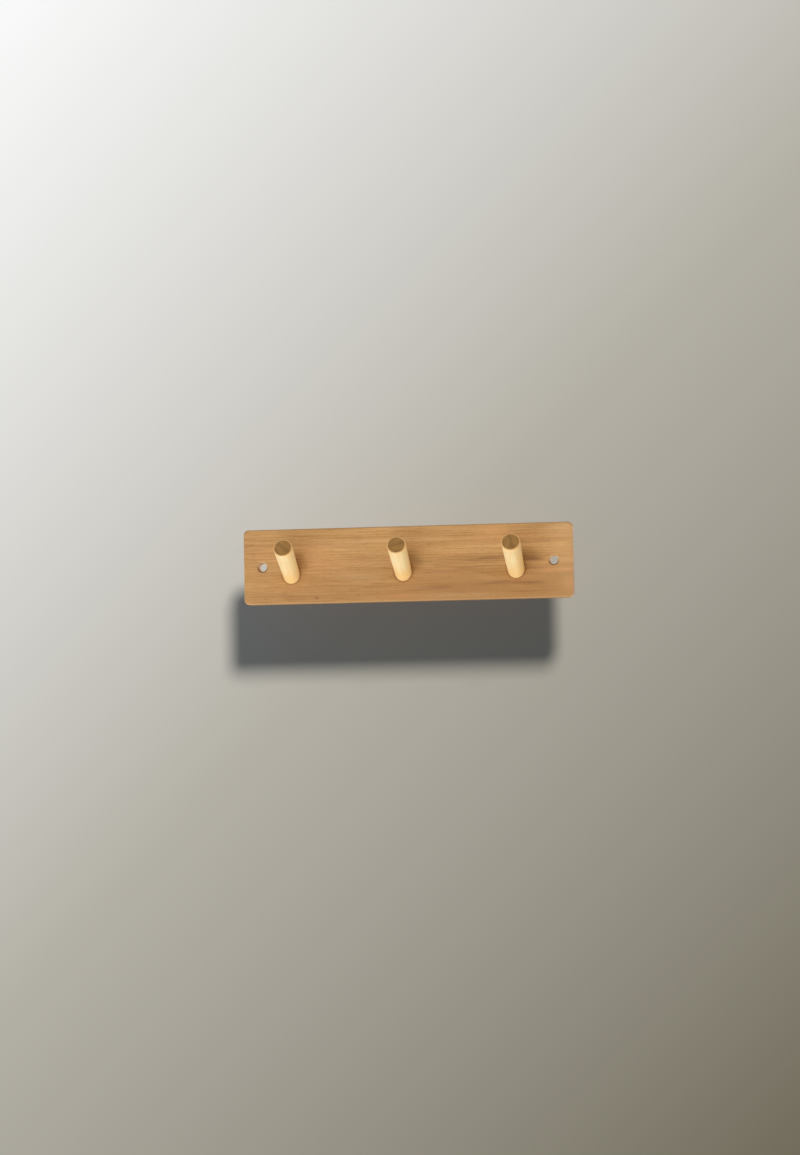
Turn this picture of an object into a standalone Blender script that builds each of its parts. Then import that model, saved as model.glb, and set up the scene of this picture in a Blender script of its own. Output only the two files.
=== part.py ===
"""Wall peg rack: an oiled board with a row of turned pegs that lean up, each screwed from behind.

Metres, +Z up. The origin is the middle of the board's back, which lies against the wall, and the
pegs reach out along -Y. Heights in a peg, its screw and its socket are measured along the peg's
axis, from the point where that axis crosses the front of the board.
"""

import math

import bmesh
import bpy

# Board
BOARD_LENGTH = 0.300
BOARD_HEIGHT = 0.068
BOARD_THICKNESS = 0.015
BOARD_CORNER_RADIUS = 0.0045
BOARD_FRONT_EASE = 0.0015
BOARD_BACK_EASE = 0.0008

# Wall-screw holes, one near each end, countersunk at the front and eased at the back
WALL_HOLE_END_INSET = 0.0172
WALL_HOLE_DIAMETER = 0.008
WALL_HOLE_RIM_DIAMETER = 0.0098
WALL_HOLE_BACK_EASE = 0.001

# Pegs, turned with a slight swell towards the free end, evenly spaced between the outer two
PEG_PLACES = ("left", "middle", "right")
PEG_LEFT_INSET = 0.0435
PEG_RIGHT_INSET = 0.0515
PEG_ROW_DROP = 0.007
PEG_TILT = math.radians(25.0)
PEG_REACH = 0.0505
PEG_BASE_DIAMETER = 0.0155
PEG_TIP_DIAMETER = 0.017
PEG_TIP_ROUND = 0.0007
PEG_TAIL_CHAMFER = 0.0006

# Countersunk wood screws with a cross recess, driven from behind along each peg's axis
SCREW_LENGTH = 0.030
SCREW_SHANK_DIAMETER = 0.004
SCREW_HEAD_DIAMETER = 0.008
SCREW_HEAD_RIM = 0.0004
SCREW_HEAD_SINK = 0.0005
SCREW_POINT_LENGTH = 0.006
SCREW_POINT_DIAMETER = 0.0008
CROSS_SPAN = 0.0042
CROSS_SLOT = 0.0011
CROSS_DEPTH = 0.0018
CROSS_FLOOR_SHARE = 0.5
SOCKET_FLOOR_WEB = 0.0035

# Fits, cuts and facets. Countersinks and screw heads open at the same angle from their axis.
COUNTERSINK_ANGLE = math.radians(45.0)
FIT_CLEARANCE = 0.0003
CUT_OVERSHOOT = 0.004
MERGE_DISTANCE = 0.000001
TURNED_SIDES = 48
SCREW_SIDES = 24
CORNER_STEPS = 6
EASE_STEPS = 3
ROUND_PROFILE = 0.5
SHARP_ANGLE = math.radians(32.0)
FACING_OUT = math.radians(90.0)

# Heights along a peg's axis. The screw's head lies wholly below the board's back, although it is
# slanted, and the socket's floor keeps a web of wood over the seat of the head's cone.
HEAD_SLANT = SCREW_HEAD_DIAMETER / 2 * math.sin(PEG_TILT)
HEAD_AT = -(BOARD_THICKNESS - SCREW_HEAD_SINK - HEAD_SLANT) / math.cos(PEG_TILT)
CONE_AT = HEAD_AT + SCREW_HEAD_RIM
SHANK_AT = CONE_AT + (SCREW_HEAD_DIAMETER - SCREW_SHANK_DIAMETER) / 2 / math.tan(COUNTERSINK_ANGLE)
POINT_AT = HEAD_AT + SCREW_LENGTH
SOCKET_FLOOR_AT = SHANK_AT + SOCKET_FLOOR_WEB
PEG_TAIL_AT = SOCKET_FLOOR_AT + FIT_CLEARANCE
SEAT_SHIFT = FIT_CLEARANCE * math.tan(COUNTERSINK_ANGLE / 2)

# Radii of the cuts in board and peg, each its piece's own radius and the clearance
SOCKET_RADIUS = PEG_BASE_DIAMETER / 2 + FIT_CLEARANCE
PASSAGE_RADIUS = SCREW_SHANK_DIAMETER / 2 + FIT_CLEARANCE
RECESS_RADIUS = SCREW_HEAD_DIAMETER / 2 + FIT_CLEARANCE


def clear_scene():
    for item in list(bpy.data.objects):
        bpy.data.objects.remove(item, do_unlink=True)


def finish(name, color, roughness, metallic=0.0):
    """A plain Principled material."""
    material = bpy.data.materials.new(name)
    material.use_nodes = True
    shader = material.node_tree.nodes["Principled BSDF"]
    shader.inputs["Base Color"].default_value = (*color, 1.0)
    shader.inputs["Roughness"].default_value = roughness
    shader.inputs["Metallic"].default_value = metallic
    return material


def finished_mesh(name, shape):
    """Turn a bmesh into a mesh, smooth on its rounds and sharp at its arrises."""
    mesh = bpy.data.meshes.new(name)
    shape.to_mesh(mesh)
    shape.free()
    mesh.shade_smooth()
    mesh.set_sharp_from_angle(angle=SHARP_ANGLE)
    return mesh


def turned_mesh(name, profile, sides):
    """Revolve (radius, height) points round Z. The first and last points lie on the axis."""
    shape = bmesh.new()
    points = [shape.verts.new((radius, 0.0, height)) for radius, height in profile]
    lines = [shape.edges.new(pair) for pair in zip(points, points[1:])]
    bmesh.ops.spin(
        shape,
        geom=points + lines,
        cent=(0.0, 0.0, 0.0),
        axis=(0.0, 0.0, 1.0),
        angle=math.tau,
        steps=sides,
        use_merge=True,
    )
    bmesh.ops.remove_doubles(shape, verts=shape.verts, dist=MERGE_DISTANCE)
    bmesh.ops.recalc_face_normals(shape, faces=shape.faces)
    return finished_mesh(name, shape)


def add_empty(name, parent=None, location=(0.0, 0.0, 0.0), turn=0.0):
    empty = bpy.data.objects.new(name, None)
    empty.parent = parent
    empty.location = location
    empty.rotation_euler.x = turn
    bpy.context.scene.collection.objects.link(empty)
    return empty


def add_piece(name, mesh, parent, material=None):
    """An object in its parent's frame. Alike pieces share one mesh."""
    piece = bpy.data.objects.new(name, mesh)
    piece.parent = parent
    if material and not mesh.materials:
        mesh.materials.append(material)
    bpy.context.scene.collection.objects.link(piece)
    return piece


def cut(piece, name, mesh, parent):
    """Take a hidden cutter's shape out of a piece."""
    cutter = add_piece(name, mesh, parent)
    cutter.hide_render = True
    cutter.display_type = 'WIRE'
    modifier = piece.modifiers.new(name, 'BOOLEAN')
    modifier.operation = 'DIFFERENCE'
    modifier.solver = 'EXACT'
    modifier.object = cutter


def face_rim(shape, y):
    """The edges round the board's flat face at this y."""
    flat = [face for face in shape.faces if abs(face.calc_center_median().y - y) < MERGE_DISTANCE]
    return [edge for face in flat for edge in face.edges]


def board_mesh():
    """A block with round corners, its front and back edges eased."""
    shape = bmesh.new()
    bmesh.ops.create_cube(shape, size=1.0)
    bmesh.ops.translate(shape, vec=(0.0, -0.5, 0.0), verts=shape.verts)
    bmesh.ops.scale(shape, vec=(BOARD_LENGTH, BOARD_THICKNESS, BOARD_HEIGHT), verts=shape.verts)
    corner_edges = [edge for edge in shape.edges if edge.verts[0].co.y != edge.verts[1].co.y]
    bmesh.ops.bevel(
        shape,
        geom=corner_edges,
        offset=BOARD_CORNER_RADIUS,
        segments=CORNER_STEPS,
        profile=ROUND_PROFILE,
        affect='EDGES',
    )
    for y, ease in ((-BOARD_THICKNESS, BOARD_FRONT_EASE), (0.0, BOARD_BACK_EASE)):
        bmesh.ops.bevel(
            shape,
            geom=face_rim(shape, y),
            offset=ease,
            segments=EASE_STEPS,
            profile=ROUND_PROFILE,
            affect='EDGES',
        )
    bmesh.ops.recalc_face_normals(shape, faces=shape.faces)
    return finished_mesh("backboard", shape)


def wall_hole_mesh():
    """Cutter for a wall-screw hole, its height measured out from the front face."""
    bore = WALL_HOLE_DIAMETER / 2
    rim = WALL_HOLE_RIM_DIAMETER / 2
    flare = math.tan(COUNTERSINK_ANGLE)
    back_end = -BOARD_THICKNESS - CUT_OVERSHOOT
    profile = [
        (0.0, back_end),
        (bore + (WALL_HOLE_BACK_EASE + CUT_OVERSHOOT) * flare, back_end),
        (bore, WALL_HOLE_BACK_EASE - BOARD_THICKNESS),
        (bore, (bore - rim) / flare),
        (rim + CUT_OVERSHOOT * flare, CUT_OVERSHOOT),
        (0.0, CUT_OVERSHOOT),
    ]
    return turned_mesh("wall_hole", profile, TURNED_SIDES)


def socket_mesh():
    """Cutter for a peg's slanted socket, the screw's passage and seat, and the recess in the back."""
    slant = math.sin(PEG_TILT)
    back_end = -(BOARD_THICKNESS + RECESS_RADIUS * slant + CUT_OVERSHOOT) / math.cos(PEG_TILT)
    front_end = (SOCKET_RADIUS * slant + CUT_OVERSHOOT) / math.cos(PEG_TILT)
    profile = [
        (0.0, back_end),
        (RECESS_RADIUS, back_end),
        (RECESS_RADIUS, CONE_AT + SEAT_SHIFT),
        (PASSAGE_RADIUS, SHANK_AT + SEAT_SHIFT),
        (PASSAGE_RADIUS, SOCKET_FLOOR_AT),
        (SOCKET_RADIUS, SOCKET_FLOOR_AT),
        (SOCKET_RADIUS, front_end),
        (0.0, front_end),
    ]
    return turned_mesh("peg_socket", profile, TURNED_SIDES)


def peg_mesh():
    """A peg with a straight tail in the board, a swelling stem, a softened end and a pilot hole."""
    base = PEG_BASE_DIAMETER / 2
    tip = PEG_TIP_DIAMETER / 2
    stem_at = SOCKET_RADIUS * math.tan(PEG_TILT)
    pilot_end = POINT_AT + FIT_CLEARANCE
    profile = [
        (0.0, pilot_end),
        (PASSAGE_RADIUS, pilot_end),
        (PASSAGE_RADIUS, PEG_TAIL_AT),
        (base - PEG_TAIL_CHAMFER, PEG_TAIL_AT),
        (base, PEG_TAIL_AT + PEG_TAIL_CHAMFER),
        (base, stem_at),
    ]
    for step in range(EASE_STEPS + 1):
        turn = math.pi / 2 * step / EASE_STEPS
        radius = tip - PEG_TIP_ROUND * (1.0 - math.cos(turn))
        height = PEG_REACH - PEG_TIP_ROUND * (1.0 - math.sin(turn))
        profile.append((radius, height))
    profile.append((0.0, PEG_REACH))
    return turned_mesh("peg", profile, TURNED_SIDES)


def screw_mesh():
    """A countersunk screw with a plain shank and a blunt point."""
    head = SCREW_HEAD_DIAMETER / 2
    shank = SCREW_SHANK_DIAMETER / 2
    profile = [
        (0.0, HEAD_AT),
        (head, HEAD_AT),
        (head, CONE_AT),
        (shank, SHANK_AT),
        (shank, POINT_AT - SCREW_POINT_LENGTH),
        (SCREW_POINT_DIAMETER / 2, POINT_AT),
        (0.0, POINT_AT),
    ]
    return turned_mesh("peg_screw", profile, SCREW_SIDES)


def cross_mesh():
    """Cutter for the screw's cross recess: a plus sign that narrows towards its floor."""
    arm = CROSS_SPAN / 2
    half_slot = CROSS_SLOT / 2
    corners = []
    for quarter in range(4):
        turn = math.pi / 2 * quarter
        for along, across in ((arm, -half_slot), (arm, half_slot), (half_slot, half_slot)):
            x = along * math.cos(turn) - across * math.sin(turn)
            y = along * math.sin(turn) + across * math.cos(turn)
            corners.append((x, y, HEAD_AT - FIT_CLEARANCE))
    shape = bmesh.new()
    mouth = shape.faces.new([shape.verts.new(corner) for corner in corners])
    grown = bmesh.ops.extrude_face_region(shape, geom=[mouth])
    floor = [item for item in grown["geom"] if isinstance(item, bmesh.types.BMVert)]
    bmesh.ops.translate(shape, vec=(0.0, 0.0, CROSS_DEPTH + FIT_CLEARANCE), verts=floor)
    bmesh.ops.scale(shape, vec=(CROSS_FLOOR_SHARE, CROSS_FLOOR_SHARE, 1.0), verts=floor)
    bmesh.ops.recalc_face_normals(shape, faces=shape.faces)
    return finished_mesh("cross_recess", shape)


def build():
    clear_scene()
    oiled_wood = finish("oiled_wood", color=(0.50, 0.27, 0.10), roughness=0.55)
    pale_wood = finish("pale_wood", color=(0.80, 0.57, 0.30), roughness=0.60)
    zinc_steel = finish("zinc_steel", color=(0.60, 0.58, 0.53), roughness=0.35, metallic=1.0)

    rack = add_empty("rack")
    board = add_piece("backboard", board_mesh(), rack, oiled_wood)

    # Wall holes point out of the front, at the same inset from both ends
    hole = wall_hole_mesh()
    hole_x = BOARD_LENGTH / 2 - WALL_HOLE_END_INSET
    for side, x in (("left", -hole_x), ("right", hole_x)):
        hole_axis = add_empty(
            "wall_hole_axis_" + side,
            rack,
            (x, -BOARD_THICKNESS, 0.0),
            FACING_OUT,
        )
        cut(board, "wall_hole_" + side, hole, hole_axis)

    # Each peg, its screw and its socket share one slanted axis
    peg = peg_mesh()
    screw = screw_mesh()
    socket = socket_mesh()
    cross = cross_mesh()
    row_start = PEG_LEFT_INSET - BOARD_LENGTH / 2
    spacing = (BOARD_LENGTH - PEG_LEFT_INSET - PEG_RIGHT_INSET) / (len(PEG_PLACES) - 1)
    for index, place in enumerate(PEG_PLACES):
        peg_axis = add_empty(
            "peg_axis_" + place,
            rack,
            (row_start + index * spacing, -BOARD_THICKNESS, -PEG_ROW_DROP),
            FACING_OUT - PEG_TILT,
        )
        cut(board, "peg_socket_" + place, socket, peg_axis)
        add_piece("peg_" + place, peg, peg_axis, pale_wood)
        peg_screw = add_piece("peg_screw_" + place, screw, peg_axis, zinc_steel)
        cut(peg_screw, "cross_recess_" + place, cross, peg_axis)

    bpy.context.view_layer.update()


build()
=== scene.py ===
# Wall peg rack: an oiled board with three turned pegs that lean up, each held by a screw from behind.
# Metres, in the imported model's frame: +X along the board, +Y into the wall, +Z up.
import math

import bmesh
import bpy
from mathutils import Matrix, Vector


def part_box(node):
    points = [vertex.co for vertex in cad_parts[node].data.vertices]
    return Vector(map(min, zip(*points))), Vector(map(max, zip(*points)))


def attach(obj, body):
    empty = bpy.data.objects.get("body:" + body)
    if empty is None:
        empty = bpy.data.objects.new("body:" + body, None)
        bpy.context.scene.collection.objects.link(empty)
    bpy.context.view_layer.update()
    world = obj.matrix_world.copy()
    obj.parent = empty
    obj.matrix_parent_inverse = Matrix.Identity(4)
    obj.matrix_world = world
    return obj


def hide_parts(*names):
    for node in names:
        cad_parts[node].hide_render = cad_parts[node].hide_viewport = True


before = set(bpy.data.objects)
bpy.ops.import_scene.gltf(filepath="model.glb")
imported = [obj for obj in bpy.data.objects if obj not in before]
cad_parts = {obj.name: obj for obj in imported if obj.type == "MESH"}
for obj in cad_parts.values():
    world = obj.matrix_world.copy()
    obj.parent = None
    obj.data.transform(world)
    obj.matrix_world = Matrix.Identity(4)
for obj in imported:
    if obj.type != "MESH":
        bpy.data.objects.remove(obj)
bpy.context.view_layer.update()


# Backboard: a planed board of orange-brown hardwood, oiled, its grain along its length and its arrises eased
# by hand. Two countersunk holes take the wall screws, and three slanted sockets take the pegs, each with a
# recess behind it for the head of the peg's screw.
board_low, board_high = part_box("backboard")
board_size = board_high - board_low
CORNER_RADIUS = 0.0045
FRONT_EASE = 0.0015
BACK_EASE = 0.0008
FACE_MARGIN = 0.0005
ROUND_STEPS = 10
EASE_STEPS = 5

WALL_HOLE_INSET = 0.0172
WALL_HOLE_RADIUS = 0.004
WALL_HOLE_RIM_RADIUS = 0.0049
WALL_HOLE_BACK_EASE = 0.001
RIM_EASE = 0.0002
RIM_STEPS = 2
CUT_PAST = 0.004
FINE_SIDES = 96

PEG_PLACES = ("left", "middle", "right")
PEG_TILT = math.radians(25.0)
PEG_DROP = 0.007
PEG_BASE_RADIUS = 0.00775
GLUE_LINE = 0.0001

SCREW_HEAD_RADIUS = 0.004
SCREW_HEAD_RIM = 0.0004
SCREW_HEAD_SINK = 0.0005
SCREW_SHANK_RADIUS = 0.002
SCREW_PLAY = 0.0003
SOCKET_WEB = 0.0035
QUARTER_TURN = math.radians(90.0)
SMOOTH_UNDER = math.radians(32.0)
NEAR = 0.00002

# Heights along a peg's axis, from the point where it crosses the board's front
slant = math.sin(PEG_TILT)
upright = math.cos(PEG_TILT)
head_at = -(board_size.y - SCREW_HEAD_SINK - SCREW_HEAD_RADIUS * slant) / upright
cone_at = head_at + SCREW_HEAD_RIM
shank_at = cone_at + SCREW_HEAD_RADIUS - SCREW_SHANK_RADIUS
socket_floor_at = shank_at + SOCKET_WEB

# The middle of each peg's socket, in the board's front
socket_radius = PEG_BASE_RADIUS + GLUE_LINE
peg_places = {}
for place in PEG_PLACES:
    peg_low, peg_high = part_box("peg_" + place)
    peg_places[place] = Vector(((peg_low.x + peg_high.x) / 2, board_low.y, -PEG_DROP))


def paint(red, green, blue):
    """A colour as a picture shows it, 0 to 255, as the linear colour that a shader takes."""
    shades = [value / 255 for value in (red, green, blue)]
    return (*[s / 12.92 if s <= 0.04045 else ((s + 0.055) / 1.055) ** 2.4 for s in shades], 1.0)


def wire(tree, node, inputs):
    """Set a node's sockets, by name or number, to another node's output or to a plain value."""
    for name, value in inputs.items():
        if isinstance(value, bpy.types.NodeSocket):
            tree.links.new(value, node.inputs[name])
        else:
            node.inputs[name].default_value = value


def add_node(tree, kind, inputs=None, **settings):
    """A shader node with its settings made and its sockets wired."""
    node = tree.nodes.new("ShaderNode" + kind)
    for name, value in settings.items():
        setattr(node, name, value)
    wire(tree, node, inputs or {})
    return node


def reckon(tree, operation, first, second=0.0):
    """One step of arithmetic."""
    return add_node(tree, "Math", {0: first, 1: second}, operation=operation).outputs[0]


def reckon_vector(tree, operation, first, second):
    """One step of arithmetic on two vectors."""
    return add_node(tree, "VectorMath", {0: first, 1: second}, operation=operation).outputs["Vector"]


def soft_step(tree, value, low, high):
    """0 below low, 1 above high, and a smooth rise between them, or a fall where low is the larger."""
    inputs = {"Value": value, "From Min": low, "From Max": high}
    return add_node(tree, "MapRange", inputs, interpolation_type='SMOOTHSTEP').outputs["Result"]


def spread(tree, value, low, high):
    """Stretch a value that runs from 0 to 1 so that it runs from low to high."""
    return add_node(tree, "MapRange", {"Value": value, "To Min": low, "To Max": high}).outputs["Result"]


def tint(tree, amount, first, second):
    """Mix two colours."""
    return add_node(tree, "Mix", {0: amount, 6: first, 7: second}, data_type='RGBA').outputs[2]


def lay_over(tree, color, tone, mask, strength):
    """Lay a tone over a colour where a mask is 1, at a strength of 0 to 1."""
    return tint(tree, reckon(tree, 'MULTIPLY', mask, strength), color, tone)


def split(tree, vector):
    """A vector's X, Y and Z."""
    return add_node(tree, "SeparateXYZ", {0: vector}).outputs


def length_of(tree, vector):
    """A vector's length."""
    return add_node(tree, "VectorMath", {0: vector}, operation='LENGTH').outputs["Value"]


def distance(tree, across, up):
    """How far off a point is, from its distances across and up."""
    return length_of(tree, add_node(tree, "CombineXYZ", {"X": across, "Y": up}).outputs["Vector"])


def off_axis(tree, place):
    """The distance from the axis that runs along the grain."""
    return length_of(tree, reckon_vector(tree, 'MULTIPLY', place, (1.0, 1.0, 0.0)))


def model_place(tree):
    """Coordinates in the model's frame."""
    return add_node(tree, "TexCoord").outputs["Object"]


def grain_place(tree, point, turn):
    """Coordinates of a piece of wood from a point on it, turned so that Z runs along its grain."""
    inputs = {"Vector": model_place(tree), "Location": point, "Rotation": turn}
    return add_node(tree, "Mapping", inputs, vector_type='TEXTURE').outputs["Vector"]


def cloud(tree, place, cell, detail=2.0, offset=0.0, output="Fac"):
    """Noise whose cells measure so much across, across and along the grain."""
    scale = [1.0 / size for size in cell]
    mapping = {"Vector": place, "Scale": scale, "Location": (offset, offset, offset)}
    drawn_out = add_node(tree, "Mapping", mapping).outputs["Vector"]
    return add_node(tree, "TexNoise", {"Vector": drawn_out, "Scale": 1.0, "Detail": detail}).outputs[output]


# Growth rings: how uneven their widths are, how soon that changes, how faint the faintest is, and over what
# shares of a year the late wood darkens and ends
RING_UNEVENNESS = 1.2
RING_CHANGE = 0.45
FAINTEST_RING = 0.3
LATE_WOOD_RISE = (0.25, 0.85)
LATE_WOOD_FALL = (1.0, 0.9)


def growth_rings(tree, place, pith, pitch, waver, cell):
    """Growth rings round a pith that runs along the grain: 0 in the early wood, up to 1 in the late wood."""
    drift = cloud(tree, place, cell, output="Color")
    drift = reckon_vector(tree, 'SUBTRACT', drift, (0.5, 0.5, 0.5))
    drift = reckon_vector(tree, 'MULTIPLY', drift, (waver, waver, waver))
    place = reckon_vector(tree, 'ADD', place, drift)
    place = reckon_vector(tree, 'SUBTRACT', place, (*pith, 0.0))
    year = reckon(tree, 'DIVIDE', off_axis(tree, place), pitch)
    uneven = add_node(tree, "TexNoise", {"W": year, "Scale": RING_CHANGE}, noise_dimensions='1D')
    uneven = spread(tree, uneven.outputs["Fac"], -RING_UNEVENNESS, RING_UNEVENNESS)
    year = reckon(tree, 'ADD', year, uneven)
    season = reckon(tree, 'FRACT', year)
    rise = soft_step(tree, season, *LATE_WOOD_RISE)
    fall = soft_step(tree, season, *LATE_WOOD_FALL)
    whole_year = reckon(tree, 'FLOOR', year)
    vigour = add_node(tree, "TexWhiteNoise", {"W": whole_year}, noise_dimensions='1D').outputs["Value"]
    late = reckon(tree, 'MULTIPLY', rise, fall)
    return reckon(tree, 'MULTIPLY', late, spread(tree, vigour, FAINTEST_RING, 1.0))


def start_finish(name):
    """An empty material with its shader, ready for colour, roughness and bump."""
    finish = bpy.data.materials.new(name)
    finish.use_nodes = True
    return finish, finish.node_tree, finish.node_tree.nodes["Principled BSDF"]


def raise_grain(tree, shader, height, depth, strength):
    """Bump on the shader from a height of 0 to 1, so many metres deep."""
    inputs = {"Height": height, "Distance": depth, "Strength": strength}
    wire(tree, shader, {"Normal": add_node(tree, "Bump", inputs).outputs["Normal"]})


# Dark streaks in the board: left end, right end, height above the middle line, half width and darkness
DARK_STREAKS = (
    (-0.125, -0.010, -0.0005, 0.0120, 0.14),
    (-0.060, 0.140, 0.0010, 0.0080, 0.17),
    (0.012, 0.130, 0.0022, 0.0032, 0.38),
    (0.056, 0.124, 0.0030, 0.0020, 0.30),
    (0.098, 0.131, 0.0018, 0.0034, 0.58),
    (0.040, 0.150, 0.0165, 0.0040, 0.11),
    (-0.010, 0.060, -0.0082, 0.0020, 0.32),
    (0.030, 0.072, -0.0058, 0.0016, 0.28),
    (0.100, 0.130, -0.0068, 0.0026, 0.30),
    (0.096, 0.124, -0.0115, 0.0014, 0.22),
    (0.048, 0.136, -0.0192, 0.0034, 0.44),
    (0.100, 0.130, -0.0200, 0.0020, 0.25),
    (-0.008, 0.062, -0.0228, 0.0030, 0.38),
    (0.084, 0.127, -0.0282, 0.0015, 0.25),
    (-0.220, -0.020, -0.0290, 0.0130, 0.21),
    (-0.190, -0.100, 0.0225, 0.0140, 0.18),
    (-0.190, -0.118, 0.0010, 0.0050, 0.12),
    (-0.120, -0.100, -0.0272, 0.0020, 0.25),
    (-0.148, -0.130, -0.0225, 0.0010, 0.30),
    (-0.038, -0.018, -0.0170, 0.0012, 0.20),
)
# Paler wood, given in the same way: the right end, its upper corner, and soft bands between the darker ones
PALE_STREAKS = (
    (0.116, 0.195, -0.0040, 0.0800, 0.14),
    (0.112, 0.190, 0.0280, 0.0100, 0.20),
    (-0.100, 0.050, 0.0205, 0.0026, 0.16),
    (-0.075, -0.010, -0.0105, 0.0045, 0.18),
    (-0.010, 0.100, -0.0300, 0.0040, 0.15),
)
# Reddish patches, given in the same way: three by the right end, one near the top and one near the bottom
RED_STREAKS = (
    (0.128, 0.165, 0.0070, 0.0060, 0.35),
    (0.110, 0.165, -0.0092, 0.0030, 0.65),
    (0.132, 0.175, -0.0220, 0.0110, 0.40),
    (0.060, 0.100, 0.0290, 0.0030, 0.30),
    (-0.030, 0.020, -0.0290, 0.0030, 0.30),
)
# How much of a streak's length fades at each end, how far streaks sway up and down, and over what distances
STREAK_FADE = 0.4
STREAK_SWAY = 0.0013
SWAY_CELL = (0.02, 0.02, 0.05)
# The wood darkens downwards and to the right: from where to where, and how far that edge wanders
DARKENING_HEIGHTS = (0.012, -0.024)
DARKENING_LENGTHS = (-0.22, 0.06)
DARKENING_DRIFT = 0.012
# A pin knot low down near the left end
KNOT_X = -0.0835
KNOT_Z = -0.0295
KNOT_LENGTH = 0.0034
KNOT_HEIGHT = 0.0022
# The grain: the pith's place behind the board, the rings, and the sizes of its marks across and along it
BOARD_PITH = (0.095, 0.045)
BOARD_RING_PITCH = 0.0036
BOARD_RING_WAVER = 0.006
BOARD_RING_CELL = (0.022, 0.022, 0.16)
BAND_CELL = (0.0042, 0.0042, 0.090)
FIBRE_CELL = (0.0011, 0.0011, 0.026)
HAIR_CELL = (0.00035, 0.00035, 0.008)
WARMTH_CELL = (0.026, 0.026, 0.07)
PORE_CELL = (0.0005, 0.0005, 0.006)
BOARD_RELIEF = 0.00025
HONEY = paint(182, 139, 83)
STRAW = paint(195, 152, 96)
TAN = paint(151, 106, 55)
RUSSET = paint(196, 139, 89)
UMBER = paint(116, 70, 34)
# Paler wood, which also serves as the painted highlight on the front arris
PALE_WOOD_AND_HIGHLIGHT = paint(216, 182, 138)
# Glue stain and painted contact shade that darken the board round each peg: how far they reach and how dark
# they are
GLUE_AND_SHADE_REACH = 0.0026
GLUE_AND_SHADE_DEPTH = 0.003
GLUE_AND_SHADE_STRENGTH = 0.45
# How strongly the front arris is painted, with a painted highlight at the bottom and ends and painted shade
# along the top, and over how much of the ease that grows
ARRIS_PAINTED_LIGHT = 0.45
ARRIS_FADE = 0.4
# The sheen of oiled or sanded wood
SATIN = 0.3


def streak(tree, along, height, left, right, level, half_width):
    """A streak in the wood, from its left to its right end, fading all round: 1 in its middle."""
    off = reckon(tree, 'ABSOLUTE', reckon(tree, 'SUBTRACT', height, level))
    fade = (right - left) * STREAK_FADE
    opening = soft_step(tree, along, left, left + fade)
    closing = soft_step(tree, along, right, right - fade)
    lengthwise = reckon(tree, 'MULTIPLY', opening, closing)
    return reckon(tree, 'MULTIPLY', lengthwise, soft_step(tree, off, half_width, 0.0))


def glue_and_contact_shade(tree, spot, ragged):
    """Darkening in the board's front round the pegs, partly from glue and partly painted contact shade: 1 at
    a peg's root, fading to a ragged edge.
    """
    wander = spread(tree, ragged, -GLUE_AND_SHADE_REACH / 2, GLUE_AND_SHADE_REACH / 2)
    darkening = 0.0
    for middle in peg_places.values():
        across = reckon(tree, 'SUBTRACT', spot["X"], middle.x)
        up = reckon(tree, 'SUBTRACT', spot["Z"], middle.z)
        up = reckon(tree, 'MULTIPLY', up, upright)
        off = reckon(tree, 'ADD', distance(tree, across, up), wander)
        ring = soft_step(tree, off, socket_radius + GLUE_AND_SHADE_REACH, socket_radius)
        darkening = reckon(tree, 'MAXIMUM', darkening, ring)
    in_front = soft_step(tree, spot["Y"], board_low.y + GLUE_AND_SHADE_DEPTH, board_low.y)
    return reckon(tree, 'MULTIPLY', darkening, in_front)


def pin_knot(tree, along, height):
    """The pin knot: 1 in its middle, fading outwards."""
    across = reckon(tree, 'DIVIDE', reckon(tree, 'SUBTRACT', along, KNOT_X), KNOT_LENGTH)
    up = reckon(tree, 'DIVIDE', reckon(tree, 'SUBTRACT', height, KNOT_Z), KNOT_HEIGHT)
    return soft_step(tree, distance(tree, across, up), 1.0, 0.2)


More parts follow.
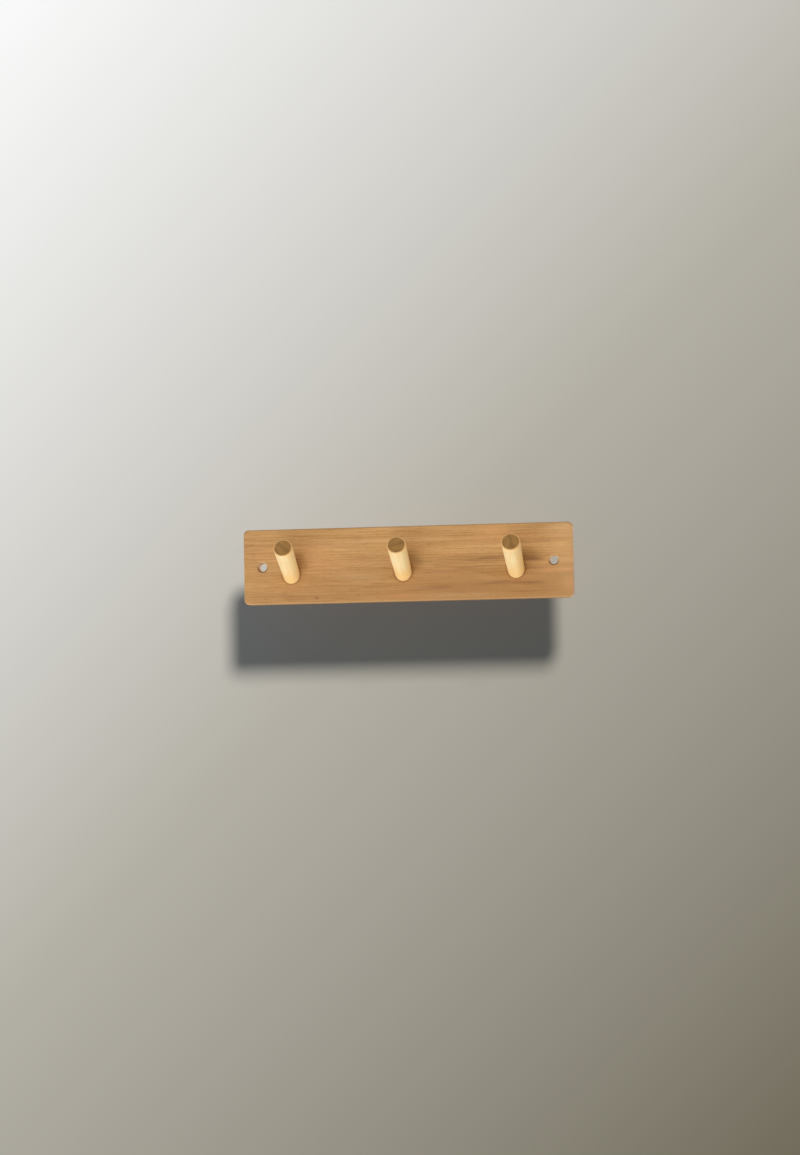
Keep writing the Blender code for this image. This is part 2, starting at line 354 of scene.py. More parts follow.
def oiled_board_finish():
    """Oiled hardwood: growth rings, drawn-out fibres, short pores, streaks, a pin knot, and a front arris
    with a painted highlight below and painted shade along the top.
    """
    finish, tree, shader = start_finish("oiled_board")
    place = grain_place(tree, (0.0, 0.0, 0.0), (0.0, QUARTER_TURN, 0.0))
    spot = split(tree, model_place(tree))
    rings = growth_rings(tree, place, BOARD_PITH, BOARD_RING_PITCH, BOARD_RING_WAVER, BOARD_RING_CELL)
    bands = cloud(tree, place, BAND_CELL, detail=3.0)
    fibres = cloud(tree, place, FIBRE_CELL, detail=3.0)
    hairs = cloud(tree, place, HAIR_CELL)
    warmth = cloud(tree, place, WARMTH_CELL, offset=3.7)
    pores = soft_step(tree, cloud(tree, place, PORE_CELL, detail=1.0, offset=8.1), 0.60, 0.70)

    color = tint(tree, soft_step(tree, bands, 0.30, 0.72), HONEY, STRAW)
    color = lay_over(tree, color, TAN, rings, strength=0.55)
    color = lay_over(tree, color, TAN, soft_step(tree, fibres, 0.45, 0.75), strength=0.55)
    color = lay_over(tree, color, TAN, soft_step(tree, hairs, 0.45, 0.80), strength=0.30)
    color = lay_over(tree, color, RUSSET, soft_step(tree, warmth, 0.45, 0.75), strength=0.40)
    color = lay_over(tree, color, UMBER, pores, strength=0.35)

    drift = spread(tree, bands, -DARKENING_DRIFT, DARKENING_DRIFT)
    low_down = soft_step(tree, reckon(tree, 'ADD', spot["Z"], drift), *DARKENING_HEIGHTS)
    low_down = reckon(tree, 'MULTIPLY', low_down, soft_step(tree, spot["X"], *DARKENING_LENGTHS))
    color = lay_over(tree, color, TAN, low_down, strength=0.70)
    sway = spread(tree, cloud(tree, place, SWAY_CELL, offset=5.3), -STREAK_SWAY, STREAK_SWAY)
    height = reckon(tree, 'ADD', spot["Z"], sway)
    broken = spread(tree, soft_step(tree, fibres, 0.36, 0.60), 0.6, 1.2)
    for streaks, tone in ((RED_STREAKS, RUSSET), (PALE_STREAKS, PALE_WOOD_AND_HIGHLIGHT), (DARK_STREAKS, UMBER)):
        for *outline, strength in streaks:
            mark = streak(tree, spot["X"], height, *outline)
            mark = reckon(tree, 'MULTIPLY', mark, broken)
            color = lay_over(tree, color, tone, mark, strength)
    # Darker round each peg's root: glue stain and painted contact shade
    color = lay_over(tree, color, UMBER, glue_and_contact_shade(tree, spot, warmth), GLUE_AND_SHADE_STRENGTH)
    color = lay_over(tree, color, UMBER, pin_knot(tree, spot["X"], height), strength=0.50)

    facing = split(tree, add_node(tree, "TexCoord").outputs["Normal"])
    end_grain = soft_step(tree, reckon(tree, 'ABSOLUTE', facing["X"]), 0.6, 0.95)
    color = lay_over(tree, color, UMBER, end_grain, spread(tree, rings, 0.06, 0.5))
    # The front arris: a painted highlight at the bottom and ends, and painted shade along the top
    turned_away = soft_step(tree, facing["Y"], -0.97, -0.66)
    ease_end = board_low.y + FRONT_EASE
    in_the_ease = soft_step(tree, spot["Y"], ease_end, ease_end - FRONT_EASE * ARRIS_FADE)
    arris = reckon(tree, 'MULTIPLY', turned_away, in_the_ease)
    arris_highlight_and_shade = tint(tree, soft_step(tree, facing["Z"], 0.2, 0.7), PALE_WOOD_AND_HIGHLIGHT, UMBER)
    color = lay_over(tree, color, arris_highlight_and_shade, arris, ARRIS_PAINTED_LIGHT)

    roughness = spread(tree, fibres, 0.44, 0.62)
    wire(tree, shader, {"Base Color": color, "Specular IOR Level": SATIN, "Roughness": roughness})
    relief = reckon(tree, 'ADD', fibres, reckon(tree, 'MULTIPLY', hairs, 0.5))
    relief = reckon(tree, 'SUBTRACT', relief, pores)
    raise_grain(tree, shader, relief, BOARD_RELIEF, strength=0.35)
    return finish


FRESH_WOOD = paint(222, 188, 140)
SCORCHED_WOOD = paint(196, 152, 102)
FLUFF_CELL = (0.0030, 0.0005, 0.0005)
DRILL_RING_CELL = (0.02, 0.0004, 0.02)
BORE_RELIEF = 0.0002
# How deep the oil ran into a hole's mouth, at its farthest and in full, and over what heights painted shade
# darkens the mouth towards its lower lip
OIL_DEPTHS = (0.0020, 0.0006)
LIP_SHADE_HEIGHTS = (0.002, -0.003)


def bored_wood_finish():
    """The raw wall of a drilled hole: pale, ringed by the drill's lips, with oil in its mouth and painted
    shade darkening its lower lip.
    """
    finish, tree, shader = start_finish("bored_wood")
    place = model_place(tree)
    spot = split(tree, place)
    fluff = cloud(tree, place, FLUFF_CELL, detail=3.0)
    rings = cloud(tree, place, DRILL_RING_CELL)
    color = tint(tree, soft_step(tree, fluff, 0.35, 0.75), FRESH_WOOD, SCORCHED_WOOD)
    color = lay_over(tree, color, SCORCHED_WOOD, soft_step(tree, rings, 0.5, 0.8), strength=0.40)
    # The mouth is darkened by oil all round, and more by painted shade towards its lower lip
    oiled_and_shaded_mouth = soft_step(tree, spot["Y"], *[board_low.y + depth for depth in OIL_DEPTHS])
    mouth_oil_and_shade = spread(tree, soft_step(tree, spot["Z"], *LIP_SHADE_HEIGHTS), 0.3, 0.9)
    color = lay_over(tree, color, UMBER, oiled_and_shaded_mouth, mouth_oil_and_shade)
    roughness = spread(tree, fluff, 0.65, 0.85)
    wire(tree, shader, {"Base Color": color, "Specular IOR Level": SATIN, "Roughness": roughness})
    raise_grain(tree, shader, reckon(tree, 'ADD', fluff, rings), BORE_RELIEF, strength=0.50)
    return finish


def choose(kind, test):
    """In edit mode, select only the verts, edges or faces that pass a test."""
    bpy.ops.mesh.select_mode(type=kind)
    bpy.ops.mesh.select_all(action='DESELECT')
    shape = bmesh.from_edit_mesh(bpy.context.object.data)
    parts = {'VERT': shape.verts, 'EDGE': shape.edges, 'FACE': shape.faces}[kind]
    for part in parts:
        if test(part):
            part.select_set(True)
    bmesh.update_edit_mesh(bpy.context.object.data)


def make_active(piece):
    """Select one piece alone, as the one that operators act on."""
    bpy.ops.object.select_all(action='DESELECT')
    piece.select_set(True)
    bpy.context.view_layer.objects.active = piece


def turn_up(name, outline, sides):
    """Turn a piece up round Z from a disc, one more extruded ring for each radius and height."""
    bpy.ops.object.select_all(action='DESELECT')
    radius, height = outline[0]
    bpy.ops.mesh.primitive_circle_add(
        vertices=sides, radius=radius, fill_type='NGON', location=(0.0, 0.0, height))
    piece = bpy.context.object
    piece.name = name
    bpy.ops.object.transform_apply(location=True, rotation=True, scale=True)
    bpy.ops.object.mode_set(mode='EDIT')
    bpy.ops.mesh.select_mode(type='FACE')
    bpy.ops.mesh.select_all(action='SELECT')
    for next_radius, next_height in outline[1:]:
        bpy.ops.mesh.extrude_region_move(
            TRANSFORM_OT_translate={"value": (0.0, 0.0, next_height - height)})
        share = next_radius / radius
        bpy.ops.transform.resize(value=(share, share, 1.0), center_override=(0.0, 0.0, next_height))
        radius, height = next_radius, next_height
    bpy.ops.mesh.select_all(action='SELECT')
    bpy.ops.mesh.normals_make_consistent(inside=False)
    bpy.ops.object.mode_set(mode='OBJECT')
    return piece


def set_in_place(piece, location, turn):
    """Turn a piece about X, put it in place and write the place into its mesh."""
    make_active(piece)
    piece.location = location
    piece.rotation_euler.x = turn
    bpy.ops.object.transform_apply(location=True, rotation=True, scale=True)


def combine(piece, other, operation):
    """Cut another shape out of a piece or join it on, with the other's finish on its faces, and drop it."""
    make_active(piece)
    modifier = piece.modifiers.new(other.name, 'BOOLEAN')
    modifier.operation = operation
    modifier.solver = 'EXACT'
    modifier.material_mode = 'TRANSFER'
    modifier.object = other
    bpy.ops.object.modifier_apply(modifier=modifier.name)
    bpy.data.objects.remove(other, do_unlink=True)


bpy.ops.object.select_all(action='DESELECT')
bpy.ops.mesh.primitive_cube_add(size=1.0, location=(board_low + board_high) / 2, scale=board_size)
board = bpy.context.object
board.name = "oiled_backboard"
bpy.ops.object.transform_apply(location=True, rotation=True, scale=True)
bpy.ops.object.mode_set(mode='EDIT')
choose('EDGE', lambda edge: abs(edge.verts[0].co.y - edge.verts[1].co.y) > board_size.y / 2)
bpy.ops.mesh.bevel(offset=CORNER_RADIUS, segments=ROUND_STEPS, affect='EDGES')
for level, ease in ((board_low.y, FRONT_EASE), (board_high.y, BACK_EASE)):
    choose('EDGE', lambda edge: all(abs(corner.co.y - level) < NEAR for corner in edge.verts))
    bpy.ops.mesh.bevel(offset=ease, segments=EASE_STEPS, affect='EDGES')
choose('FACE', lambda face: face.calc_area() > board_size.y * board_size.z / 2)
bpy.ops.mesh.inset(thickness=FACE_MARGIN, use_individual=True)
bpy.ops.object.mode_set(mode='OBJECT')
board.data.materials.append(oiled_board_finish())

bored_wood = bored_wood_finish()
wall_hole_outline = (
    (WALL_HOLE_RADIUS + WALL_HOLE_BACK_EASE + CUT_PAST, -board_size.y - CUT_PAST),
    (WALL_HOLE_RADIUS, WALL_HOLE_BACK_EASE - board_size.y),
    (WALL_HOLE_RADIUS, WALL_HOLE_RADIUS - WALL_HOLE_RIM_RADIUS),
    (WALL_HOLE_RIM_RADIUS + CUT_PAST, CUT_PAST),
)
wall_hole_places = [
    Vector((board_low.x + WALL_HOLE_INSET, board_low.y, 0.0)),
    Vector((board_high.x - WALL_HOLE_INSET, board_low.y, 0.0)),
]
for spot in wall_hole_places:
    drill = turn_up("wall_hole_drill", wall_hole_outline, FINE_SIDES)
    set_in_place(drill, spot, QUARTER_TURN)
    drill.data.materials.append(bored_wood)
    combine(board, drill, 'DIFFERENCE')

recess_radius = SCREW_HEAD_RADIUS + SCREW_PLAY
passage_radius = SCREW_SHANK_RADIUS + SCREW_PLAY
socket_outline = (
    (recess_radius, -(board_size.y + recess_radius * slant + CUT_PAST) / upright),
    (recess_radius, cone_at),
    (passage_radius, shank_at),
    (passage_radius, socket_floor_at),
    (socket_radius, socket_floor_at),
    (socket_radius, (socket_radius * slant + CUT_PAST) / upright),
)
for place in PEG_PLACES:
    drill = turn_up("peg_socket_drill", socket_outline, FINE_SIDES)
    set_in_place(drill, peg_places[place], QUARTER_TURN - PEG_TILT)
    drill.data.materials.append(bored_wood)
    combine(board, drill, 'DIFFERENCE')

rim_reach = socket_radius / upright + RIM_EASE


def on_a_rim(edge):
    """Whether an edge lies round the mouth of a wall hole or a peg's socket, in the board's front."""
    if any(abs(corner.co.y - board_low.y) > NEAR for corner in edge.verts):
        return False
    if edge.calc_face_angle(0.0) < SMOOTH_UNDER:
        return False
    spots = wall_hole_places + list(peg_places.values())
    return any((corner.co - spot).length < rim_reach for corner in edge.verts for spot in spots)


make_active(board)
bpy.ops.object.mode_set(mode='EDIT')
choose('EDGE', on_a_rim)
bpy.ops.mesh.bevel(offset=RIM_EASE, segments=RIM_STEPS, affect='EDGES')
bpy.ops.object.mode_set(mode='OBJECT')
bpy.ops.object.shade_smooth_by_angle(angle=SMOOTH_UNDER)
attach(board, "root")
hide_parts("backboard")


# Pegs: three alike, of pale, close-grained wood, turned with a slight swell towards the free end, sanded and
# glued into their slanted sockets. The sawn end is left bare, has darkened, and has a softened arris.
PEG_REACH = 0.0505
PEG_TIP_RADIUS = 0.0085
PEG_TIP_ROUND = 0.0007
PEG_TAIL_CHAMFER = 0.0006
PEG_STEM_RINGS = 8
PEG_ROUND_STEPS = 6
END_MARGIN = 0.0004
SCREW_LENGTH = 0.030

# The grain: each peg's pith beside its axis, the rings, and the sizes of its marks across and along the peg
PEG_PITHS = {"left": (0.019, 0.010), "middle": (-0.016, 0.015), "right": (0.012, -0.020)}
PEG_RING_PITCH = 0.0021
PEG_RING_WAVER = 0.002
PEG_RING_CELL = (0.012, 0.012, 0.06)
PEG_FIBRE_CELL = (0.0008, 0.0008, 0.016)
PEG_PATCH_CELL = (0.007, 0.007, 0.022)
PEG_PORE_CELL = (0.0004, 0.0004, 0.003)
PEG_RELIEF = 0.0002
PEG_GLOW = 0.15
PEG_GLOW_DEPTH = 0.0025
PEG_GLOW_SPREAD = (1.0, 0.45, 0.18)
# Where each peg's paler patches start, and how far painted shade darkens its right side
PEG_PATCHES = {"left": 4.2, "middle": 8.7, "right": 11.9}
PEG_RIGHT_SHADE = {"left": 0.0, "middle": 0.08, "right": 0.42}
# Between these heights along a peg, painted warm light reflected from the board turns the wood amber towards
# the board
BOUNCE_LIGHT_HEIGHTS = (0.026, 0.002)
# Freckles on the front of a peg: distance across the peg, height along it and size
FRECKLES = {"right": ((-0.0036, 0.0255, 0.0009), (0.0006, 0.0258, 0.0007))}
CREAM = paint(254, 232, 184)
BUTTER = paint(252, 220, 162)
AMBER = paint(250, 205, 130)
BISCUIT = paint(231, 186, 122)
WORN = paint(204, 156, 96)
FRECKLE = paint(176, 120, 70)

# The sawn ends: how the saw's marks lie on each, the sizes of their marks, and how far their edge is rubbed
END_TURNS = {"left": 0.7, "middle": -0.4, "right": 1.3}
END_RING_WAVER = 0.0012
END_RING_CELL = (0.006, 0.006, 0.06)
SAW_MARK_CELL = (0.010, 0.0006, 0.01)
END_PORE_CELL = (0.0003, 0.0003, 0.02)
END_STAIN_CELL = (0.016, 0.0032, 0.02)
END_EDGE_CELL = (0.0014, 0.0014, 0.02)
END_EDGE_WANDER = 0.0006
END_RUBBED_WIDTH = 0.0010
END_RELIEF = 0.0003
DUSK = paint(160, 120, 66)
BARK = paint(111, 80, 42)

end_radius = PEG_TIP_RADIUS - PEG_TIP_ROUND


def peg_grain_place(tree, place):
    """Coordinates of a peg from the middle of its socket, with Z along its axis."""
    return grain_place(tree, peg_places[place], (QUARTER_TURN - PEG_TILT, 0.0, 0.0))


def pale_peg_finish(place):
    """Sanded pale wood: faint growth rings and fine fibres along the peg; painted light reflected from the
    board makes it a little darker and more amber by the board, and painted shade darkens its right side.
    """
    finish, tree, shader = start_finish("pale_peg_" + place)
    along = peg_grain_place(tree, place)
    spot = split(tree, along)
    seed = PEG_PLACES.index(place)
    rings = growth_rings(tree, along, PEG_PITHS[place], PEG_RING_PITCH, PEG_RING_WAVER, PEG_RING_CELL)
    fibres = cloud(tree, along, PEG_FIBRE_CELL, detail=3.0, offset=seed)
    patches = cloud(tree, along, PEG_PATCH_CELL, offset=PEG_PATCHES[place])
    pores = soft_step(tree, cloud(tree, along, PEG_PORE_CELL, detail=1.0, offset=seed), 0.66, 0.74)
    color = tint(tree, soft_step(tree, patches, 0.35, 0.70), CREAM, BUTTER)
    color = lay_over(tree, color, BISCUIT, rings, strength=0.27)
    color = lay_over(tree, color, BISCUIT, soft_step(tree, fibres, 0.5, 0.8), strength=0.30)
    color = lay_over(tree, color, FRECKLE, pores, strength=0.25)
    # Painted warm light reflected from the board, towards the peg's root
    color = lay_over(tree, color, AMBER, soft_step(tree, spot["Z"], *BOUNCE_LIGHT_HEIGHTS), strength=0.65)
    # Painted shade on the peg's right side
    right_side_shade = soft_step(tree, spot["X"], 0.0, PEG_BASE_RADIUS)
    color = lay_over(tree, color, BISCUIT, right_side_shade, PEG_RIGHT_SHADE[place])
    at_the_arris = soft_step(tree, spot["Z"], PEG_REACH - 2 * PEG_TIP_ROUND, PEG_REACH)
    color = lay_over(tree, color, WORN, at_the_arris, strength=0.85)
    for across, up, size in FRECKLES.get(place, ()):
        off_across = reckon(tree, 'SUBTRACT', spot["X"], across)
        off_up = reckon(tree, 'SUBTRACT', spot["Z"], up)
        speck = soft_step(tree, distance(tree, off_across, off_up), size, 0.0)
        color = lay_over(tree, color, FRECKLE, speck, strength=0.55)
    wire(tree, shader, {
        "Base Color": color,
        "Specular IOR Level": SATIN,
        "Roughness": spread(tree, fibres, 0.50, 0.66),
        "Subsurface Weight": PEG_GLOW,
        "Subsurface Radius": PEG_GLOW_SPREAD,
        "Subsurface Scale": PEG_GLOW_DEPTH,
    })
    raise_grain(tree, shader, reckon(tree, 'SUBTRACT', fibres, pores), PEG_RELIEF, strength=0.25)
    return finish


def sawn_end_finish(place):
    """Bare sawn end grain: arcs of growth rings, pore dots and the straight marks of the saw."""
    finish, tree, shader = start_finish("sawn_end_" + place)
    along = peg_grain_place(tree, place)
    turn = {"Vector": along, "Rotation": (0.0, 0.0, END_TURNS[place])}
    turned = add_node(tree, "Mapping", turn).outputs["Vector"]
    rings = growth_rings(tree, along, PEG_PITHS[place], PEG_RING_PITCH / 2, END_RING_WAVER, END_RING_CELL)
    saw_marks = cloud(tree, turned, SAW_MARK_CELL)
    pores = soft_step(tree, cloud(tree, along, END_PORE_CELL, detail=1.0), 0.60, 0.70)
    darkening = cloud(tree, turned, END_STAIN_CELL, offset=6.4)
    color = lay_over(tree, DUSK, BARK, rings, strength=0.45)
    color = lay_over(tree, color, BARK, soft_step(tree, saw_marks, 0.45, 0.75), strength=0.45)
    color = lay_over(tree, color, BARK, soft_step(tree, darkening, 0.38, 0.68), strength=0.50)
    color = lay_over(tree, color, UMBER, pores, strength=0.30)
    wander = cloud(tree, along, END_EDGE_CELL, offset=2.9)
    wander = spread(tree, wander, -END_EDGE_WANDER, END_EDGE_WANDER)
    radius = reckon(tree, 'ADD', off_axis(tree, along), wander)
    rubbed = soft_step(tree, radius, end_radius - END_RUBBED_WIDTH, end_radius)
    color = lay_over(tree, color, WORN, rubbed, strength=0.50)
    roughness = spread(tree, saw_marks, 0.70, 0.88)
    wire(tree, shader, {"Base Color": color, "Specular IOR Level": SATIN, "Roughness": roughness})
    raise_grain(tree, shader, reckon(tree, 'SUBTRACT', saw_marks, pores), END_RELIEF, strength=0.45)
    return finish


peg_tail_at = socket_floor_at + GLUE_LINE
pilot_end_at = head_at + SCREW_LENGTH + SCREW_PLAY
stem_at = socket_radius * math.tan(PEG_TILT)
peg_outline = [
    (passage_radius, pilot_end_at),
    (passage_radius, peg_tail_at),
    (PEG_BASE_RADIUS - PEG_TAIL_CHAMFER, peg_tail_at),
    (PEG_BASE_RADIUS, peg_tail_at + PEG_TAIL_CHAMFER),
]
round_at = PEG_REACH - PEG_TIP_ROUND
for ring in range(PEG_STEM_RINGS):
    share = ring / PEG_STEM_RINGS
    swell = PEG_BASE_RADIUS + (PEG_TIP_RADIUS - PEG_BASE_RADIUS) * share
    peg_outline.append((swell, stem_at + (round_at - stem_at) * share))
for step in range(PEG_ROUND_STEPS + 1):
    turn = QUARTER_TURN * step / PEG_ROUND_STEPS
    radius = PEG_TIP_RADIUS - PEG_TIP_ROUND * (1.0 - math.cos(turn))
    peg_outline.append((radius, round_at + PEG_TIP_ROUND * math.sin(turn)))
peg_outline.append((end_radius - END_MARGIN, PEG_REACH))

for place in PEG_PLACES:
    peg = turn_up("turned_peg_" + place, peg_outline, FINE_SIDES)
    peg.data.materials.append(pale_peg_finish(place))
    peg.data.materials.append(sawn_end_finish(place))
    bpy.ops.object.mode_set(mode='EDIT')
    choose('FACE', lambda face: all(abs(corner.co.z - PEG_REACH) < NEAR for corner in face.verts))
    peg.active_material_index = 1
    bpy.ops.object.material_slot_assign()
    bpy.ops.object.mode_set(mode='OBJECT')
    set_in_place(peg, peg_places[place], QUARTER_TURN - PEG_TILT)
    bpy.ops.object.shade_smooth_by_angle(angle=SMOOTH_UNDER)
    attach(peg, "root")
    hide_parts("peg_" + place)


# Peg screws: a zinc-plated countersunk wood screw with a cross recess for each peg, driven from behind along
# the peg's own slanted axis. Its head lies in the recess in the board's back, and its thread holds the peg.
SCREW_POINT_LENGTH = 0.006
SCREW_POINT_RADIUS = 0.0004
SCREW_CORE_RADIUS = 0.0014
SCREW_PLAIN_LENGTH = 0.007
HEAD_ARRIS = 0.00012
THREAD_PITCH = 0.0018
THREAD_STEPS = 32
THREAD_WIDTH = 0.0008
THREAD_CREST_SHARE = 0.15
THREAD_ROOT = 0.0002
THREAD_WELD = 0.000002
CROSS_SPAN = 0.0042
CROSS_SLOT = 0.0011
CROSS_DEPTH = 0.0018
CROSS_FLOOR_SHARE = 0.5
SCREW_SIDES = 64
ZINC = paint(196, 194, 186)
STRAW_ZINC = paint(201, 190, 160)
DULL_ZINC = paint(120, 117, 108)
ZINC_CAST_CELL = (0.004, 0.004, 0.004)
DULL_SPOT_CELL = (0.0008, 0.0008, 0.0008)
SCRATCH_CELL = (0.00012, 0.002, 0.00012)
SCRATCH_RELIEF = 0.00005


def zinc_finish():
    """Bright zinc plate with a faint yellow cast in places, fine scratches and dull spots."""
    finish, tree, shader = start_finish("zinc_plate")
    place = model_place(tree)
    cast = cloud(tree, place, ZINC_CAST_CELL)
    spots = soft_step(tree, cloud(tree, place, DULL_SPOT_CELL, detail=3.0), 0.52, 0.72)
    scratches = cloud(tree, place, SCRATCH_CELL)
    color = tint(tree, soft_step(tree, cast, 0.4, 0.7), ZINC, STRAW_ZINC)
    color = lay_over(tree, color, DULL_ZINC, spots, strength=0.35)
    roughness = spread(tree, spots, 0.28, 0.46)
    wire(tree, shader, {"Base Color": color, "Metallic": 1.0, "Roughness": roughness})
    raise_grain(tree, shader, scratches, SCRATCH_RELIEF, strength=0.20)
    return finish


zinc = zinc_finish()
point_at = head_at + SCREW_LENGTH
plain_end_at = shank_at + SCREW_PLAIN_LENGTH
screw_outline = (
    (SCREW_HEAD_RADIUS - HEAD_ARRIS, head_at),
    (SCREW_HEAD_RADIUS, head_at + HEAD_ARRIS),
    (SCREW_HEAD_RADIUS, cone_at),
    (SCREW_SHANK_RADIUS, shank_at),
    (SCREW_SHANK_RADIUS, plain_end_at),
    (SCREW_CORE_RADIUS, plain_end_at + SCREW_SHANK_RADIUS - SCREW_CORE_RADIUS),
    (SCREW_CORE_RADIUS, point_at - SCREW_POINT_LENGTH),
    (SCREW_POINT_RADIUS, point_at),
)


def cross_bar(turn):
    """One bar of the cross recess's punch, narrower at its floor."""
    bpy.ops.object.select_all(action='DESELECT')
    mouth_at = head_at - HEAD_ARRIS
    depth = CROSS_DEPTH + HEAD_ARRIS
    bpy.ops.mesh.primitive_cube_add(
        size=1.0, location=(0.0, 0.0, mouth_at + depth / 2), scale=(CROSS_SPAN, CROSS_SLOT, depth))
    bar = bpy.context.object
    bar.rotation_euler.z = turn
    bpy.ops.object.transform_apply(location=True, rotation=True, scale=True)
    bpy.ops.object.mode_set(mode='EDIT')
    choose('FACE', lambda face: face.normal.z > 0.5)
    floor_share = (CROSS_FLOOR_SHARE, CROSS_FLOOR_SHARE, 1.0)
    bpy.ops.transform.resize(value=floor_share, center_override=(0.0, 0.0, mouth_at + depth))
    bpy.ops.object.mode_set(mode='OBJECT')
    bar.data.materials.append(zinc)
    return bar


def thread_ridge():
    """The thread: a small wedge wound up the core, with both ends closed."""
    bpy.ops.object.select_all(action='DESELECT')
    start = plain_end_at + THREAD_PITCH
    turns = int((point_at - SCREW_POINT_LENGTH - start) / THREAD_PITCH)
    root_radius = SCREW_CORE_RADIUS - THREAD_ROOT
    middle_radius = (root_radius + SCREW_SHANK_RADIUS) / 2
    bpy.ops.mesh.primitive_plane_add(
        size=1.0, location=(middle_radius, 0.0, start), rotation=(QUARTER_TURN, 0.0, 0.0))
    ridge = bpy.context.object
    ridge.scale = (SCREW_SHANK_RADIUS - root_radius, THREAD_WIDTH, 1.0)
    bpy.ops.object.transform_apply(location=True, rotation=True, scale=True)
    bpy.ops.object.mode_set(mode='EDIT')
    choose('EDGE', lambda edge: all(corner.co.x > middle_radius for corner in edge.verts))
    crest_share = (1.0, 1.0, THREAD_CREST_SHARE)
    bpy.ops.transform.resize(value=crest_share, center_override=(SCREW_SHANK_RADIUS, 0.0, start))
    bpy.ops.mesh.select_mode(type='FACE')
    bpy.ops.mesh.select_all(action='SELECT')
    bpy.ops.mesh.delete(type='ONLY_FACE')
    bpy.ops.object.mode_set(mode='OBJECT')
    winding = ridge.modifiers.new("winding", 'SCREW')
    winding.axis = 'Z'
    winding.angle = math.tau
    winding.screw_offset = THREAD_PITCH
    winding.iterations = turns
    winding.steps = THREAD_STEPS
    winding.render_steps = THREAD_STEPS
    winding.use_merge_vertices = False
    bpy.ops.object.modifier_apply(modifier=winding.name)
    bpy.ops.object.mode_set(mode='EDIT')
    bpy.ops.mesh.select_mode(type='EDGE')
    bpy.ops.mesh.select_all(action='DESELECT')
    bpy.ops.mesh.select_non_manifold()
    bpy.ops.mesh.fill()
    bpy.ops.mesh.select_all(action='SELECT')
    bpy.ops.mesh.normals_make_consistent(inside=False)
    bpy.ops.object.mode_set(mode='OBJECT')
    ridge.data.materials.append(zinc)
    return ridge


pattern_screw = turn_up("zinc_peg_screw", screw_outline, SCREW_SIDES)
pattern_screw.data.materials.append(zinc)
for turn in (0.0, QUARTER_TURN):
    combine(pattern_screw, cross_bar(turn), 'DIFFERENCE')
combine(pattern_screw, thread_ridge(), 'UNION')
bpy.ops.object.mode_set(mode='EDIT')
bpy.ops.mesh.select_all(action='SELECT')
bpy.ops.mesh.remove_doubles(threshold=THREAD_WELD)
bpy.ops.mesh.dissolve_degenerate(threshold=THREAD_WELD)
bpy.ops.object.mode_set(mode='OBJECT')

for place in PEG_PLACES:
    screw = bpy.data.objects.new("zinc_peg_screw_" + place, pattern_screw.data.copy())
    bpy.context.scene.collection.objects.link(screw)
    set_in_place(screw, peg_places[place], QUARTER_TURN - PEG_TILT)
    bpy.ops.object.shade_smooth_by_angle(angle=SMOOTH_UNDER)
    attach(screw, "root")
    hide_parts("peg_screw_" + place)
bpy.data.objects.remove(pattern_screw, do_unlink=True)


# Backdrop: a plain pale wall of matt paint a little way behind the rack, with painted light that makes it
# paler up on the left. It shows only from the front, so that the rack's back can be looked at, and lamps
# behind it light that back.
BACKDROP_GAP = 0.065
BACKDROP_SIZE = 6.0
BACKDROP_ROUGHNESS = 0.9
# Its tones of painted light from the upper left to the lower right, and how much lamp light falls on it
BACKDROP_TONES = (paint(253, 253, 252), paint(183, 179, 168), paint(112, 106, 88))
BACKDROP_REACH = 0.91
BACKDROP_LIGHT = (1.612, 1.667, 1.725)


def backdrop_finish():
    """Matt paint with painted light that falls off evenly from the upper left to the lower right."""
    finish, tree, shader = start_finish("backdrop_paint")
    spot = split(tree, model_place(tree))
    slope = reckon(tree, 'SUBTRACT', spot["X"], spot["Z"])
    pale, middle, dim = [(*[t / e for t, e in zip(tone, BACKDROP_LIGHT)], 1.0) for tone in BACKDROP_TONES]
    upper = add_node(tree, "MapRange", {"Value": slope, "From Min": -BACKDROP_REACH, "From Max": 0.0})
    lower = add_node(tree, "MapRange", {"Value": slope, "From Min": 0.0, "From Max": BACKDROP_REACH})
    color = tint(tree, upper.outputs["Result"], pale, middle)
    color = tint(tree, lower.outputs["Result"], color, dim)
    wire(tree, shader, {"Base Color": color, "Specular IOR Level": 0.0, "Roughness": BACKDROP_ROUGHNESS})
    clear = add_node(tree, "BsdfTransparent").outputs["BSDF"]
    behind = add_node(tree, "NewGeometry").outputs["Backfacing"]
    passing = add_node(tree, "LightPath").outputs["Is Shadow Ray"]
    hidden = reckon(tree, 'MAXIMUM', behind, passing)
    shown = add_node(tree, "MixShader", {0: hidden, 1: shader.outputs["BSDF"], 2: clear}).outputs["Shader"]
    wire(tree, tree.nodes["Material Output"], {"Surface": shown})
    return finish


bpy.ops.object.select_all(action='DESELECT')
bpy.ops.mesh.primitive_plane_add(
    size=BACKDROP_SIZE, location=(0.0, board_high.y + BACKDROP_GAP, 0.0), rotation=(QUARTER_TURN, 0.0, 0.0))
backdrop = bpy.context.object
backdrop.name = "backdrop"
bpy.ops.object.transform_apply(location=True, rotation=True, scale=True)
backdrop.data.materials.append(backdrop_finish())


# Studio light: an even pale surround, a broad soft lamp low in front, a small one higher up, a warm one far
# off on the right, and two behind for the back and the top. Two more light the wall alone: one throws the
# rack's shadow, and the other softens it.
WHITE = (1.0, 1.0, 1.0)
SURROUND_LEVEL = 0.28
SURROUND_GLOW = (1.0, 0.92, 0.76, 1.0)
SURROUND_COLOR = paint(214, 212, 206)
SURROUND_SHOWN = 1.0
ORIGIN = (0.0, 0.0, 0.0)
board_middle = (0.0, board_low.y, 0.0)
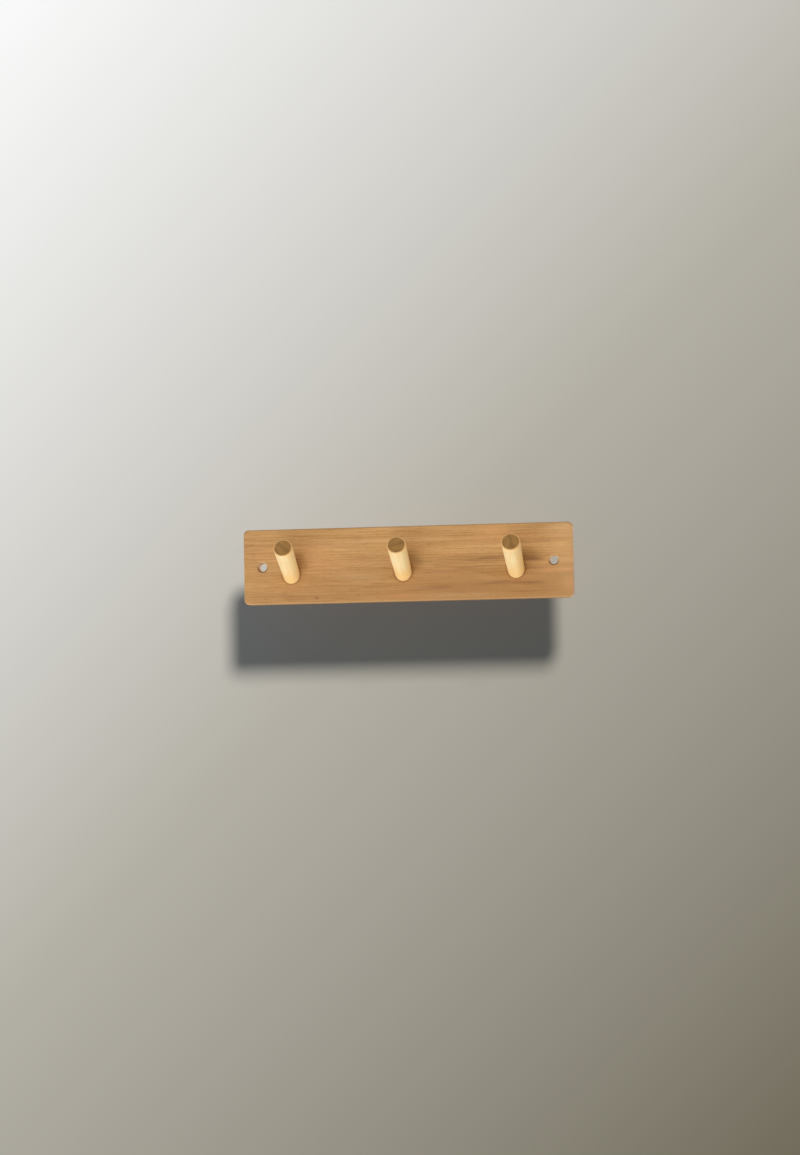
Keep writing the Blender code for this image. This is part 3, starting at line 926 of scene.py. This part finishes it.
# Round lamps that light the rack alone: power in watts, place, the point they shine at, width and colour
RACK_LAMPS = {
    "key_lamp": (42.0, (-0.6, -1.39, -1.26), board_middle, 3.2, WHITE),
    "front_lamp": (9.7, (-0.36, -1.77, 0.45), board_middle, 0.4, WHITE),
    "fill_lamp": (46.0, (3.2, -1.5, -0.2), board_middle, 3.4, (1.0, 0.86, 0.66)),
    "rear_lamp": (20.0, (0.75, 1.25, -0.15), ORIGIN, 1.2, WHITE),
    "top_lamp": (8.0, (0.2, 0.55, 1.4), ORIGIN, 1.2, WHITE),
}
SHADOW_LEVEL = 5.0
SHADOW_COURSE = (-0.347, 1.0, -0.766)
SHADOW_SOFTNESS = math.radians(10.5)
SKY_LEVEL = 0.737
SKY_COURSE = (0.0, 1.0, 0.0)
SKY_COLOR = (0.19, 0.54, 1.0)


def add_lamp(name, kind, power, place, aim, color):
    """A lamp at a place, turned to shine at a point."""
    data = bpy.data.lights.new(name, kind)
    data.energy = power
    data.color = color
    lamp = bpy.data.objects.new(name, data)
    lamp.location = place
    lamp.rotation_euler = (Vector(aim) - Vector(place)).to_track_quat('-Z', 'Y').to_euler()
    bpy.context.scene.collection.objects.link(lamp)
    return lamp


world = bpy.data.worlds.new("surround")
bpy.context.scene.world = world
world.use_nodes = True
tree = world.node_tree
path = add_node(tree, "LightPath")
seen = reckon(tree, 'MAXIMUM', path.outputs["Is Camera Ray"], path.outputs["Is Transmission Ray"])
seen = reckon(tree, 'MAXIMUM', seen, path.outputs["Is Glossy Ray"])
lighting = add_node(tree, "Background", {"Color": SURROUND_GLOW, "Strength": SURROUND_LEVEL})
looks = add_node(tree, "Background", {"Color": SURROUND_COLOR, "Strength": SURROUND_SHOWN})
sides = {0: seen, 1: lighting.outputs["Background"], 2: looks.outputs["Background"]}
shown = add_node(tree, "MixShader", sides).outputs["Shader"]
wire(tree, tree.nodes["World Output"], {"Surface": shown})

rack_only = bpy.data.collections.new("rack_only")
rack_only.objects.link(backdrop)
rack_only.collection_objects[0].light_linking.link_state = 'EXCLUDE'
for name, (power, place, aim, width, color) in RACK_LAMPS.items():
    lamp = add_lamp(name, 'AREA', power, place, aim, color)
    lamp.data.shape = 'DISK'
    lamp.data.size = width
    lamp.light_linking.receiver_collection = rack_only

shadow = add_lamp("shadow_lamp", 'SUN', SHADOW_LEVEL, ORIGIN, SHADOW_COURSE, WHITE)
shadow.data.angle = SHADOW_SOFTNESS
skylight = add_lamp("skylight_lamp", 'SUN', SKY_LEVEL, ORIGIN, SKY_COURSE, SKY_COLOR)
skylight.data.use_shadow = False
wall_only = bpy.data.collections.new("wall_only")
wall_only.objects.link(backdrop)
for lamp in (shadow, skylight):
    lamp.light_linking.receiver_collection = wall_only


# Camera: a long lens, some way off, a little to the right of the board and a little below it, and rolled
# slightly, as in the photograph.
CAMERA_DISTANCE = 3.2
CAMERA_RIGHT = math.radians(7.29)
CAMERA_RISE = math.radians(-3.0)
CAMERA_ROLL = math.radians(1.11)
CAMERA_LENS = 110.25
CAMERA_SENSOR = 36.0
AIM_X = -0.00698
AIM_Z = -0.01254

aim = Vector((AIM_X, board_low.y, AIM_Z))
level = math.cos(CAMERA_RISE)
back = Vector((math.sin(CAMERA_RIGHT) * level, -math.cos(CAMERA_RIGHT) * level, math.sin(CAMERA_RISE)))
turn = (-back).to_track_quat('-Z', 'Y').to_matrix() @ Matrix.Rotation(-CAMERA_ROLL, 3, 'Z')
lens = bpy.data.cameras.new("camera")
lens.lens = CAMERA_LENS
lens.sensor_width = CAMERA_SENSOR
camera = bpy.data.objects.new("camera", lens)
camera.location = aim + back * CAMERA_DISTANCE
camera.rotation_euler = turn.to_euler()
bpy.context.scene.collection.objects.link(camera)
bpy.context.scene.camera = camera
bpy.context.scene.view_settings.view_transform = 'Standard'
